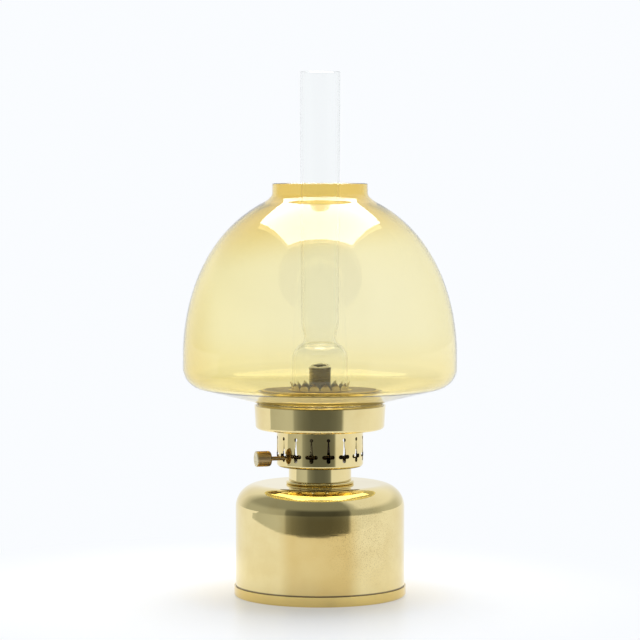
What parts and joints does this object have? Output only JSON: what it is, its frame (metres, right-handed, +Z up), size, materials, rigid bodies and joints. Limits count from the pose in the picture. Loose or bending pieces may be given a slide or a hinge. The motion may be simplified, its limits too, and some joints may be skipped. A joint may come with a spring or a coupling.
{
  "type": "kerosene table lamp",
  "caption": "Brass kerosene table lamp with a round tank, pierced burner, turning wick knob, tall clear chimney and domed amber glass shade.",
  "frame": {"origin": "on the table under the lamp's axis, in the plane of the foot ring", "axes": "+Z up along the lamp's axis, -Y towards the front, +X to the right as seen from the front"},
  "size_m": [0.16, 0.16, 0.3058],
  "materials": {
    "brass": "polished, lightly tarnished",
    "brass_dull": "dull, heat-browned",
    "brass_brown": "browned by handling",
    "gasket": "matt",
    "cotton": "woven",
    "clear_glass": "clear, fire-polished",
    "amber_glass": "amber, glossy"
  },
  "bodies": {
    "reservoir": {"base_pan": "brass", "tank_shell": "brass", "filler_collar": "brass"},
    "gasket": {"collar_gasket": "gasket"},
    "burner": {"burner_deck": "brass_dull", "air_basket": "brass", "wick_tube": "brass_dull", "draft_tube": "brass_dull", "spindle_bracket": "brass_dull", "draft_screen": "brass_dull", "ring_rivets": "brass_dull", "shade_ring": "brass", "gallery_plate": "brass_dull", "chimney_crown": "brass"},
    "knob_shaft": {"knob": "brass_brown", "spindle": "brass", "wick_wheel": "brass_dull", "spindle_rings": "brass_dull"},
    "wick_sleeve": {"wick": "cotton"},
    "chimney_glass": {"chimney": "clear_glass"},
    "shade_glass": {"shade": "amber_glass"}
  },
  "joints": [
    {"name": "burner_rise", "type": "slide", "parent": "reservoir", "child": "gasket", "axis": [0, 0, 1], "range_m": [0, 0.006]},
    {"name": "burner_turn", "type": "hinge", "parent": "gasket", "child": "burner", "pos_m": [0, 0, 0.0751], "axis": [0, 0, 1], "range_deg": [0, 1080]},
    {"name": "knob_turn", "type": "hinge", "parent": "burner", "child": "knob_shaft", "pos_m": [0.00211, -0.00709, 0.0816], "axis": [0.9587, 0.2846, 0], "range_deg": [-260, 156]},
    {"name": "wick_rise", "type": "slide", "parent": "burner", "child": "wick_sleeve", "axis": [0, 0, 1], "range_m": [-0.01, 0.006]},
    {"name": "chimney_lift", "type": "slide", "parent": "burner", "child": "chimney_glass", "axis": [0, 0, 1], "range_m": [0, 0.13]},
    {"name": "shade_lift", "type": "slide", "parent": "burner", "child": "shade_glass", "axis": [0, 0, 1], "range_m": [0, 0.2]}
  ],
  "couplings": [
    {"joint": "burner_rise", "follows": "burner_turn", "m_per_rad": 0.0003183},
    {"joint": "wick_rise", "follows": "knob_turn", "m_per_rad": 0.0022}
  ]
}
